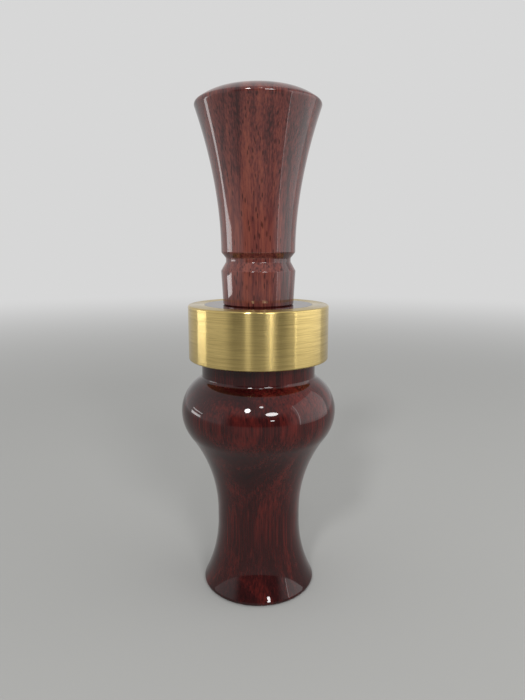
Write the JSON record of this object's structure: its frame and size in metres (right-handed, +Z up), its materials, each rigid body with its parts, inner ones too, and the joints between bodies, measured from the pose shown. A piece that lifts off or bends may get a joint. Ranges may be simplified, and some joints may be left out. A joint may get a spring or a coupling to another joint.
{
  "type": "bird call",
  "caption": "Turned wooden duck call: a bulbed barrel with a heavy brass band, and a belled stopper whose tone board holds reeds that sound when the mouthpiece is blown.",
  "frame": {"origin": "middle of the mouthpiece end, on the surface that the call stands on", "axes": "+Z up along the call's axis, from the mouthpiece to the bell; the reeds face +Y and the pictured side is -Y"},
  "size_m": [0.0381, 0.038, 0.1203],
  "materials": {
    "barrel_wood": "crimson hardwood under gloss lacquer",
    "stopper_wood": "red-brown hardwood under gloss lacquer",
    "band_brass": "brushed around",
    "board_plastic": "machined acetal",
    "seal_rubber": "smooth",
    "reed_film": "frosted film",
    "wedge_cork": "natural cork"
  },
  "bodies": {
    "barrel": {"barrel": "barrel_wood", "brass_band": "band_brass"},
    "seals": {"upper_seal_ring": "seal_rubber", "lower_seal_ring": "seal_rubber"},
    "insert": {"stopper": "stopper_wood", "tone_board": "board_plastic"},
    "long_reed": {"long_reed": "reed_film"},
    "short_reed": {"short_reed": "reed_film"},
    "wedge": {"reed_wedge": "wedge_cork"}
  },
  "joints": [
    {"name": "insert_pull", "type": "slide", "parent": "barrel", "child": "seals", "axis": [0, 0, 1], "range_m": [0, 0.05]},
    {"name": "insert_twist", "type": "hinge", "parent": "seals", "child": "insert", "pos_m": [0, 0, 0.07185], "axis": [0, 0, 1], "continuous": true},
    {"name": "reed_flex", "type": "hinge", "parent": "insert", "child": "long_reed", "pos_m": [0, 0.001, 0.04585], "axis": [-1, 0, 0], "range_deg": [-3, 2.8], "stiffness_Nm_per_rad": 0.01, "deforming": ["long_reed"]},
    {"name": "short_reed_flex", "type": "hinge", "parent": "insert", "child": "short_reed", "pos_m": [0, 0.00125, 0.04585], "axis": [-1, 0, 0], "range_deg": [-3, 2.8], "deforming": ["short_reed"]},
    {"name": "wedge_pull", "type": "slide", "parent": "insert", "child": "wedge", "axis": [0, 0, -1], "range_m": [0, 0.01]}
  ],
  "couplings": [
    {"joint": "short_reed_flex", "follows": "reed_flex", "ratio": 1}
  ]
}
